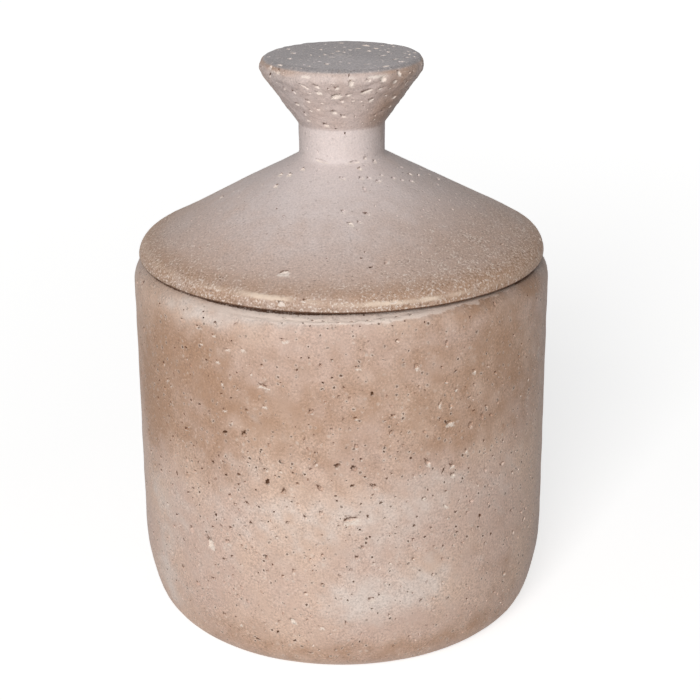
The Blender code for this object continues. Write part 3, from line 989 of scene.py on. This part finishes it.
# painted shade: the rim's shoulder under the lid's edge, except at the front, the wall's left and right
# sides, and the foot as contact shadow on the shelf
turns = (-180, -100, -85, -65, -40, 30, 50, 80, 180)
shoulder = bell(height, RIM, 5) * np.interp(angle, turns, (0.4, 0.4, 0.4, 0.4, 0, 0, 0.7, 0.9, 0.4))
side_shade = 0.25 * bell(angle, -74, 14) * bell(height, 112, 22) + 0.4 * bell(angle, 90, 9)
side_shade = side_shade + 0.4 * bell(angle, 78, 10) * bell(height, 28, 16)
store(jar, "painted_shade", outside * (shoulder + side_shade + 0.6 * bell(height, 0, 5)))
store(jar, "edge", 0.5 + np.where(above > 0, SLOWER_ABOVE, 1.0) * above / EDGE_SPAN)
store(jar, "sharp", sharp * outside)
# painted shadow of the gap under the lid's edge, with stain: a dark band on the rim's shoulder
turns = (-180, -90, -60, -30, 0, 30, 45, 60, 90, 180)
reach = MOUTH + 6.2 + np.interp(angle, turns, (1.6, 2.3, 1.5, 0.3, 0, -0.8, 0.2, 1.9, 2.5, 1.6))
gap_shadow_and_stain = np.interp(radius - reach, (-5.5, -2.0, -0.6, 0), (0, 0.66, 0.85, 0)) * (height > RIM - 4)
gap_shadow_and_stain = gap_shadow_and_stain * np.clip(0.95 + 0.2 * ripple(jar_points, 7, 41), 0, 1)
store_pits(jar, jar_pits, *jar_pitting, gap_shadow_and_stain, 0)
print("jar: dirt on", (gap_shadow_and_stain > 0.5).sum(), "points of the rim")

# %% [markdown]
# ## The lid's finish
#
# The lid is paler than the jar: brown only at its lower edge and round the knob's top, with
# bloom that thickens up the cone. Sand climbs from the edge, highest on the right. The knob's
# flat top is dusty. Just below it runs a line of painted shade, and under that a painted
# highlight. The neck's sides, the flare's right and the lid's lower edge get painted shade too.

# %% The lid's wash, bloom and dust
radius, height, angle = polar(lid_points)
skin = height > under_cone(radius) + 5
knob = np.interp(height, (KNOB_FOOT - 0.4, KNOB_FOOT + 1.0), (0, 1)) * skin
turned_away = np.clip((np.abs(angle) - 20) / 50, 0, 1)
browned = bell(height, TOP - 1.5, 0.8) * (radius > KNOB - 9) * (0.3 + 0.7 * turned_away)
low_edge = np.interp(height, (SEAT, SEAT + 6, SEAT + 10, SEAT + 20), (0.95, 0.9, 0.4, 0.15))
# painted shade and light: the cone's right side gets more wash and less bloom, and the bloom thickens a
# little at the front, where the lamp falls
shaded = bell(angle, 75, 40) * np.interp(height, (SEAT + 5, SEAT + 15, CONE_TOP - 10), (0.3, 1, 0))
wash = knob * (0.08 + 0.85 * browned) + (1 - knob) * (low_edge + 0.15 * shaded)
wash = wash + clouds(lid_points, seen_clouds(lid_picture, lid_surface, LID_WASH))
pale = np.interp(height, (SEAT + 8, SEAT + 22, CONE_TOP - 4, KNOB_FOOT), (0.12, 0.5, 0.95, 0.75))
bloom = knob * 0.36 + (1 - knob) * (pale + 0.10 * bell(angle, -10, 30) - 0.2 * bell(angle, 75, 40))
lilac = 0.4 * knob * bell(angle, -50, 25) * (height < TOP - 3)
store(lid, "wash", np.where(skin, wash, HIDDEN_WASH))
store(lid, "bloom", np.where(skin, bloom, HIDDEN_BLOOM))
store(lid, "dust_and_sheen", skin * np.interp(height, (TOP - 1.6, TOP - 0.6), (0, 1)) + lilac)
print("lid: wash", wash[skin].mean().round(2), "and bloom", bloom[skin].mean().round(2), "on average")

# %% The lid's grain
climb = np.interp(angle, (-180, -90, -50, -15, 15, 40, 90, 180), (20, 17, 14, 9, 13, 24, 29, 20))
sandy = 1.15 * np.clip(1.3 - (height - SEAT) / climb, 0, 1) + 0.3 * ripple(lid_points, 6, 54) - 0.1
heights = (SEAT + 14, SEAT + 24, CONE_TOP, KNOB_FOOT, KNOB_FOOT + 1, TOP)
gritty = np.interp(height, heights, (0.70, 0.42, 0.28, 0.40, 0.5, 0.6))
store(lid, "sand", knob * np.interp(height, (TOP - 4, TOP), (0.12, 0.45)) + (skin - knob) * sandy)
store(lid, "grit", np.where(skin, gritty, HIDDEN_GRIT))
store(lid, "holes", 0.05 * skin + 0.15 * knob)
print("sand climbs", climb.min().round(), "to", climb.max().round(), "mm from the lid's seat")

# %% The lid's painted shade and highlight, stain, wear and pits
# painted shade: the neck's sides, the knob's flare on the right, a band just under the knob's top edge at the
# front, and the lid's lower edge, most on the left
side = np.clip((np.abs(angle) - 25) / 50, 0, 1) * np.interp(height, (CONE_TOP - 14, CONE_TOP), (0, 1))
right_flare_shade = np.clip((angle - 15) / 50, 0, 1) * bell(height, KNOB_FOOT + 6, 9) * (angle < 150)
knob_edge_shade = np.interp(TOP - height, (0, 0.22, 0.84, 1.3), (0, 0.9, 1, 0)) * (radius > KNOB - 8)
knob_edge_shade = knob_edge_shade * np.clip(np.cos(np.radians(angle)), 0, 1)
shadowed = np.interp(height - SEAT, (0, 1.2, 3.0), (0.6, 0.4, 0)) * (radius > LID_RADIUS - 4)
shadowed = shadowed * np.interp(angle, (-180, -100, -80, -20, 5, 15, 180), (0.4, 0.8, 1, 0.9, 0.7, 0, 0.4))
store(lid, "painted_shade", skin * (0.42 * side + 0.40 * right_flare_shade + 0.9 * knob_edge_shade + shadowed))
level, strong = ridge_line(lid_points)
store(lid, "edge", 0.5 + (height - level) / EDGE_SPAN)
store(lid, "sharp", strong * skin * (radius > LID_RADIUS - 6))
# painted shadow of the gap, with stain: the lid's lower corner is darkened
gap_dirt_and_shadow = np.interp(height, (SEAT + UNDERCUT + 0.4, SEAT + UNDERCUT + 0.9), (1, 0)) * (radius > MOUTH + 5)
# painted highlight: a pale band just under the knob's top edge, where the rounding faces the lamp, stored
# with the rubbed wear on the top
knob_highlight = np.interp(angle, (-70, -50, -12, 0, 5, 12, 45, 60), (0, 0.7, 1, 0.2, 0.2, 0.9, 0.8, 0))
knob_highlight = knob_highlight * bell(height, TOP - 2.75, 0.6) * np.clip(0.6 + 0.9 * ripple(lid_points, 8, 53), 0, 1)
rubbed = 0.5 * bell(radius, 0, 3.5) * (height > TOP - 0.6)
store_pits(lid, lid_pits, *lid_pitting, gap_dirt_and_shadow, 1.2 * knob_highlight * knob + rubbed)
print("stored:", ", ".join(a.name for a in lid.data.attributes if a.data_type == "FLOAT"))

# %% [markdown]
# ## Colours and nodes
#
# Colours are written as they look on screen, in sRGB, and the shader wants them linear, so one
# function converts them. One more adds a node with its settings and links. It hands back one
# of the node's outputs, so that nodes can be chained line by line.

# %% Colour and node helpers
MIX_A, MIX_B, MIX_OUT = 6, 7, 2  # colour sockets of a Mix node


def linear(colour):
    """An sRGB hex value as linear RGBA: a channel c up to 0.04045 is divided by 12.92, and a larger one
    becomes (c + 0.055) / 1.055 to the power 2.4."""
    srgb = np.array([int(colour[i:i + 2], 16) for i in (1, 3, 5)]) / 255
    rgb = np.where(srgb <= 0.04045, srgb / 12.92, ((srgb + 0.055) / 1.055) ** 2.4)
    return (*rgb.tolist(), 1.0)


def add(tree, kind, inputs=(), out=0, **settings):
    """Adds one node and returns one of its outputs, by name or number. settings are the node's properties,
    and inputs are its sockets by name or number, each a value or another node's output."""
    node = tree.nodes.new("ShaderNode" + kind)
    for key, value in settings.items():
        setattr(node, key, value)
    for socket, value in dict(inputs).items():
        if isinstance(value, bpy.types.NodeSocket):
            tree.links.new(value, node.inputs[socket])
        else:
            node.inputs[socket].default_value = value
    return node.outputs[out]


def per_mm(size):
    """Texture scale whose features are about this many mm across."""
    return 1 / (size * MM)


print("mid grey #808080 is", [round(x, 3) for x in linear("#808080")], "in linear RGBA")

# %% [markdown]
# ## The stone finish
#
# The body is an unglazed cast ceramic with a lot of grit, like a cast stone: matt, chalky and
# full of pinholes. The colour carries the looks, in layers: a pinkish buff ground, the brown
# wash, the pale bloom and a grey layer, which is dust on the knob's top and a painted sheen on
# the jar's sides. Their stored amounts are smooth, so noise is added to those of the wash and
# the bloom, which gives them ragged edges. The grey layer stays soft.

# %% Ground, wash, bloom and dust
DRIFT = 32                       # mm, patches of the ground's two tones
DRIFT_RAMP = (0.38, 0.62)        # where in the noise one tone turns into the other
RAGGED = 8                       # mm, on the edges of wash and bloom
RAGGEDNESS = {"wash": 0.9, "bloom": 1.0, "dust_and_sheen": 0.0}


def painted(tree, place, tones):
    """Colour of the ground under its three layers."""
    drift = add(tree, "TexNoise", {"Vector": place, "Scale": per_mm(DRIFT)})
    start, end = DRIFT_RAMP
    drift = add(tree, "MapRange", {"Value": drift, "From Min": start, "From Max": end})
    sockets = {0: drift, MIX_A: linear(tones["ground"]), MIX_B: linear(tones["blush"])}
    colour = add(tree, "Mix", sockets, MIX_OUT, data_type="RGBA")
    sockets = {"Vector": place, "Scale": per_mm(RAGGED), "Detail": 5.0, "Roughness": 0.62}
    ragged = add(tree, "TexNoise", sockets)
    for layer, raggedness in RAGGEDNESS.items():
        amount = add(tree, "Attribute", out="Fac", attribute_name=layer)
        amount = add(tree, "Math", {0: ragged, 1: raggedness, 2: amount}, operation="MULTIPLY_ADD")
        limits = {"Value": amount, "From Min": raggedness / 2, "From Max": raggedness / 2 + 1.0}
        amount = add(tree, "MapRange", limits, interpolation_type="SMOOTHSTEP")
        sockets = {0: amount, MIX_A: colour, MIX_B: linear(tones[layer])}
        colour = add(tree, "Mix", sockets, MIX_OUT, data_type="RGBA")
    return colour


# %% [markdown]
# ## Grit and sand
#
# Grit in the body makes the colour uneven from grain to grain. On the lid's slope, and in patches
# on the jar, sand stands out of the skin as pale and dark grains. Loose grains could be
# scattered as objects, but there would be thousands, so noise of 0.8 mm stands for both. Most
# real grit is finer, but that wouldn't show at the picture's size.

# %% Grit and sand
GRAIN = 0.8                      # mm
SWING = 1.5                      # noise from 0 to 1 is centred on 0 and stretched by this
GRIT_HEIGHT = 0.16               # mm
PAINTED_SHADE_STRENGTH = 0.4                # how much of the light full painted shade takes
# tone, how much sand shifts the noise, where in the noise a grain starts and is full, and its cover
SAND_GRAINS = (("pit", -0.07, 0.325, 0.29, 0.6), ("chip", 0.11, 0.64, 0.70, 0.80))


def gritted(tree, place, colour):
    """Colour times an uneven shade, darker where shade is painted on, and the grit's height in mm."""
    grain = add(tree, "TexNoise", {"Vector": place, "Scale": per_mm(GRAIN), "Detail": 2.0, "Roughness": 0.7})
    uneven = add(tree, "Math", {0: grain, 1: SWING, 2: -SWING / 2}, operation="MULTIPLY_ADD")
    grit = add(tree, "Attribute", out="Fac", attribute_name="grit")
    shade = add(tree, "Math", {0: uneven, 1: grit, 2: 1.0}, operation="MULTIPLY_ADD")
    # painted shade: a stored number darkens the colour where shade falls on the piece
    painted_shade = add(tree, "Attribute", out="Fac", attribute_name="painted_shade")
    shade = add(tree, "Math", {0: painted_shade, 1: -PAINTED_SHADE_STRENGTH, 2: shade}, operation="MULTIPLY_ADD")
    height = add(tree, "Math", {0: grain, 1: GRIT_HEIGHT}, operation="MULTIPLY")
    return add(tree, "HueSaturation", {"Value": shade, "Color": colour}), height


def sanded(tree, place, colour, tones):
    """Colour with dark and pale grains of sand on it, and how much of a pale grain there is, 0 to 0.8. The
    grains are the lowest and the highest parts of a noise pattern, and the more sand there is, the more of
    the pattern counts."""
    sockets = {"Vector": place, "Scale": per_mm(GRAIN), "Detail": 4.0, "Roughness": 0.7}
    pattern = add(tree, "TexNoise", sockets)
    sand = add(tree, "Attribute", out="Fac", attribute_name="sand")
    for tone, more, none, full, most in SAND_GRAINS:
        grain = add(tree, "Math", {0: sand, 1: more, 2: pattern}, operation="MULTIPLY_ADD")
        grain = add(tree, "MapRange", {"Value": grain, "From Min": none, "From Max": full, "To Max": most})
        sockets = {0: grain, MIX_A: colour, MIX_B: linear(tones[tone])}
        colour = add(tree, "Mix", sockets, MIX_OUT, data_type="RGBA")
    return colour, grain


# %% [markdown]
# ## Pinholes too small to model
#
# Between the modelled pits are many more of about half a millimetre. They are drawn by a Voronoi
# pattern, whose cells are bent by noise so that the holes aren't round, and each cell's random
# colour gives its hole a size.

# %% Pinholes
HOLE_CELL = 2.2                  # mm, at most one hole in each cell
HOLE_BEND = 0.9                  # mm, size of the noise that bends the cells
LEAST_LUCK = 0.4                 # cells with less than this get the smallest hole
HOLE_SIZES = (0.02, 0.26)        # radius, as a share of the cell
HOLE_FLOOR = 0.65                # a hole is fully dark inside this share of its radius
HOLE_LIP = 1.9                   # and its pale lip, a painted highlight, ends at this many radii


def pinholed(tree, place, colour, tones):
    """Colour with dark pinholes, each ringed by a pale lip painted as a highlight, and how much of a hole
    there is, 0 to 1.
    """
    bend = add(tree, "TexNoise", {"Vector": place, "Scale": per_mm(HOLE_BEND)}, "Color")
    bend = add(tree, "VectorMath", {0: bend, 1: (0.5, 0.5, 0.5)}, operation="SUBTRACT")
    bend = add(tree, "VectorMath", {0: bend, 1: (MM, MM, MM), 2: place}, operation="MULTIPLY_ADD")
    cell = add(tree, "TexVoronoi", {"Vector": bend, "Scale": per_mm(HOLE_CELL)}, "Distance")
    luck = add(tree, "SeparateColor", {0: cell.node.outputs["Color"]})
    small, large = HOLE_SIZES
    size = add(tree, "MapRange", {"Value": luck, "From Min": LEAST_LUCK, "To Min": small, "To Max": large})
    inner = add(tree, "Math", {0: size, 1: HOLE_FLOOR}, operation="MULTIPLY")
    outer = add(tree, "Math", {0: size, 1: HOLE_LIP}, operation="MULTIPLY")
    hole = add(tree, "MapRange", {"Value": cell, "From Min": size, "From Max": inner})
    lip = add(tree, "MapRange", {"Value": cell, "From Min": outer, "From Max": size})
    holes = add(tree, "Attribute", out="Fac", attribute_name="holes")
    for part, tone, most in ((lip, "chip", 0.45), (hole, "pit", 0.95)):
        amount = add(tree, "Math", {0: part, 1: holes}, operation="MULTIPLY")
        amount = add(tree, "Math", {0: amount, 1: most}, operation="MULTIPLY")
        sockets = {0: amount, MIX_A: colour, MIX_B: linear(tones[tone])}
        colour = add(tree, "Mix", sockets, MIX_OUT, data_type="RGBA")
    return colour, hole


# %% [markdown]
# ## Worn edges and their painted highlight
#
# The crease under the rim and the ridge round the lid are rubbed pale, and the pale line also
# paints the highlight that these edges catch. Over the jar's crease it widens upwards, painted
# light on the strip that the lid shades. The mesh stores each point's distance from the edge,
# and noise is added to it, so the pale line wanders, breaks and gets crumbs beside it.

# %% Worn edges and painted highlights
CRUMB = 2.2                      # mm
GAP = 5                          # mm, breaks in the line
GAP_RAMP = (0.24, 0.40)          # where in the noise a break ends and the line is whole
LINE_CORE = 0.45                 # the line is full inside this share of its width
LINE_COVER = 0.85                # how much of the colour below it hides


def worn_and_lit(tree, place, colour, tones, width):
    """Colour with a pale line along the rubbed edge, partly wear and partly a painted highlight, and how much
    of the line there is, 0 to 1.
    """
    away = add(tree, "Attribute", out="Fac", attribute_name="edge")
    away = add(tree, "Math", {0: away, 1: EDGE_SPAN, 2: -EDGE_SPAN / 2}, operation="MULTIPLY_ADD")
    sockets = {"Vector": place, "Scale": per_mm(CRUMB), "Detail": 4.0, "Roughness": 0.65}
    crumbs = add(tree, "TexNoise", sockets)
    crumbs = add(tree, "Math", {0: crumbs, 1: SWING, 2: -SWING / 2}, operation="MULTIPLY_ADD")
    away = add(tree, "Math", {0: away, 1: crumbs}, operation="ADD")
    away = add(tree, "Math", {0: away}, operation="ABSOLUTE")
    line = add(tree, "MapRange", {"Value": away, "From Min": width, "From Max": LINE_CORE * width})
    broken = add(tree, "TexNoise", {"Vector": place, "Scale": per_mm(GAP)})
    start, end = GAP_RAMP
    broken = add(tree, "MapRange", {"Value": broken, "From Min": start, "From Max": end})
    sharp = add(tree, "Attribute", out="Fac", attribute_name="sharp")
    line = add(tree, "Math", {0: line, 1: sharp}, operation="MULTIPLY")
    line = add(tree, "Math", {0: line, 1: broken}, operation="MULTIPLY")
    most = add(tree, "Math", {0: line, 1: LINE_COVER}, operation="MULTIPLY")
    sockets = {0: most, MIX_A: colour, MIX_B: linear(tones["worn_and_lit"])}
    return add(tree, "Mix", sockets, MIX_OUT, data_type="RGBA"), line


# %% [markdown]
# ## Cast stone, matt and chalky
#
# The layers come together in one material. Light scatters almost evenly from such a surface,
# so its roughness is high and its gloss is a faint veil. The bump carries only what is too
# fine for the mesh: grit, grains, pinholes and the crumbled edges.

# %% Stone material
ROUGHNESS = 0.64
GLOSS = 0.45
PIT_FRAY = 0.6                   # mm, noise on the edges of stored pits
FRAY_WEIGHT = 1.2                # how much that noise adds to the stored number
PIT_RAMP = (0.95, 1.35)          # where in the sum a pit's tone starts and is full
GRAIN_HEIGHT = 0.06              # mm
HOLE_DEPTH = 0.16
LINE_HEIGHT = 0.12
# stored number, tone, and how much of the colour below it hides at most
PIT_COVER = (("hollow", "pit", 0.94), ("chip", "chip", 0.85))


def stone(name, tones, worn_width):
    """Matt, gritty cast stone with a wiped-on wash, a dusted bloom, sandy grains and pinholes."""
    material = bpy.data.materials.new(name)
    material.use_nodes = True
    tree = material.node_tree
    shader = tree.nodes["Principled BSDF"]
    place = add(tree, "TexCoord", out="Object")
    colour = painted(tree, place, tones)
    colour, height = gritted(tree, place, colour)
    colour, grain = sanded(tree, place, colour, tones)
    colour, hole = pinholed(tree, place, colour, tones)
    colour, line = worn_and_lit(tree, place, colour, tones, worn_width)
    ragged = add(tree, "TexNoise", {"Vector": place, "Scale": per_mm(PIT_FRAY), "Roughness": 0.6})
    none, full = PIT_RAMP
    for attribute, tone, most in PIT_COVER:
        amount = add(tree, "Attribute", out="Fac", attribute_name=attribute)
        amount = add(tree, "Math", {0: ragged, 1: FRAY_WEIGHT, 2: amount}, operation="MULTIPLY_ADD")
        amount = add(tree, "MapRange", {"Value": amount, "From Min": none, "From Max": full, "To Max": most})
        sockets = {0: amount, MIX_A: colour, MIX_B: linear(tones[tone])}
        colour = add(tree, "Mix", sockets, MIX_OUT, data_type="RGBA")
    for part, tall in ((grain, GRAIN_HEIGHT), (hole, -HOLE_DEPTH), (line, LINE_HEIGHT)):
        height = add(tree, "Math", {0: part, 1: tall, 2: height}, operation="MULTIPLY_ADD")
    bump = add(tree, "Bump", {"Height": height, "Distance": MM})
    tree.links.new(colour, shader.inputs["Base Color"])
    tree.links.new(bump, shader.inputs["Normal"])
    shader.inputs["Roughness"].default_value = ROUGHNESS
    shader.inputs["Specular IOR Level"].default_value = GLOSS
    return material


WASHED_LINE = 0.8                # mm, half width of the worn line
BLEACHED_LINE = 1.0
washed_tones = {
    "ground": "#d5b9a7", "blush": "#ceb3a5", "wash": "#b08c73", "bloom": "#dccdc4", "dust_and_sheen": "#bbb4b5",
    "pit": "#55300e", "chip": "#ecdfd3", "worn_and_lit": "#f4e2d6",
}
bleached_tones = {
    "ground": "#ceb6aa", "blush": "#cdbab2", "wash": "#b7957d", "bloom": "#ddd0cd", "dust_and_sheen": "#c2bbbc",
    "pit": "#55300e", "chip": "#f3e6dc", "worn_and_lit": "#f0dac6",
}
jar.data.materials.append(stone("washed_cast_stone", washed_tones, WASHED_LINE))
lid.data.materials.append(stone("bleached_cast_stone", bleached_tones, BLEACHED_LINE))
print("materials:", ", ".join(obj.data.materials[0].name for obj in (jar, lid)))

# %% [markdown]
# ## Floor, backdrop and light
#
# The jar stands in a white studio. A big soft lamp in front and a little to the left does most
# of the work, low enough that the knob's flat top stays darker than its front. The floor and
# the world are white to the camera, and the floor keeps a soft shadow.


# %% Floor
def seen_directly(tree):
    """1 for rays from the camera and for mirrored or refracted ones, which see white, and 0 for others."""
    path = add(tree, "LightPath").node.outputs
    seen = add(tree, "Math", {0: path["Is Camera Ray"], 1: path["Is Glossy Ray"]}, operation="MAXIMUM")
    return add(tree, "Math", {0: seen, 1: path["Is Transmission Ray"]}, operation="MAXIMUM")


FLOOR_HALF = 4.0                 # m
FLOOR_GLOW = 0.64                # what the floor adds to its own shade to be white, near the jar
FAR_GLOW = 0.80                  # and far behind it, where less of the lamp's light falls
FLOOR_DROP = 0.0002              # m, so that the foot and the floor don't share a plane
FLOOR_WHITE = 0.75               # linear
NEAR, FAR = 0.2, 1.2             # m from the jar's axis
square = ((-1, -1), (1, -1), (1, 1), (-1, 1))
corners = [(x * FLOOR_HALF, y * FLOOR_HALF, -FLOOR_DROP) for x, y in square]
floor_mesh = bpy.data.meshes.new("studio_floor")
floor_mesh.from_pydata(corners, [], [(0, 1, 2, 3)])
floor = bpy.data.objects.new("studio_floor", floor_mesh)
bpy.context.scene.collection.objects.link(floor)

white = bpy.data.materials.new("studio_white")
white.use_nodes = True
tree = white.node_tree
tree.nodes.clear()
away = add(tree, "VectorMath", {0: add(tree, "TexCoord", out="Object")}, "Value", operation="LENGTH")
limits = {"Value": away, "From Min": NEAR, "From Max": FAR, "To Min": FLOOR_GLOW, "To Max": FAR_GLOW}
glow = add(tree, "MapRange", limits)
glow = add(tree, "Math", {0: glow, 1: seen_directly(tree)}, operation="MULTIPLY")
glow = add(tree, "Emission", {"Strength": glow})
matt = add(tree, "BsdfDiffuse", {"Color": (FLOOR_WHITE, FLOOR_WHITE, FLOOR_WHITE, 1)})
both = add(tree, "AddShader", {0: matt, 1: glow})
tree.links.new(both, tree.nodes.new("ShaderNodeOutputMaterial").inputs["Surface"])
floor_mesh.materials.append(white)
print("floor:", 2 * FLOOR_HALF, "m square")

# %% Light
AMBIENT = 0.18                   # light of the white room on the jar
world = bpy.data.worlds.new("studio")
bpy.context.scene.world = world
world.use_nodes = True
tree = world.node_tree
tree.nodes.clear()
strength = add(tree, "MapRange", {"Value": seen_directly(tree), "To Min": AMBIENT})
sky = add(tree, "Background", {"Color": (1, 1, 1, 1), "Strength": strength})
tree.links.new(sky, tree.nodes.new("ShaderNodeOutputWorld").inputs["Surface"])


def softbox(name, azimuth, elevation, distance, size, power, colour):
    """A square lamp that faces the jar's middle, from a direction given in degrees: azimuth 0 is the front
    and a positive azimuth is to the right."""
    lamp = bpy.data.lights.new(name, "AREA")
    lamp.size = size
    lamp.energy = power
    lamp.color = colour
    obj = bpy.data.objects.new(name, lamp)
    bpy.context.scene.collection.objects.link(obj)
    turn = Euler((math.pi / 2 - math.radians(elevation), 0, math.radians(azimuth))).to_matrix()
    obj.rotation_euler = turn.to_euler()
    obj.location = turn.col[2] * distance
    obj.location.z += CAMERA_AIM


KEY_POWER = 122.0                # watts
KEY_COLOUR = (1.0, 0.99, 0.975)  # a trace of warmth
softbox("key_softbox", azimuth=-13, elevation=24, distance=4.0, size=1.6, power=KEY_POWER, colour=KEY_COLOUR)
bpy.context.scene.view_settings.view_transform = "Standard"
print("lamps:", ", ".join(light.name for light in bpy.data.lights))
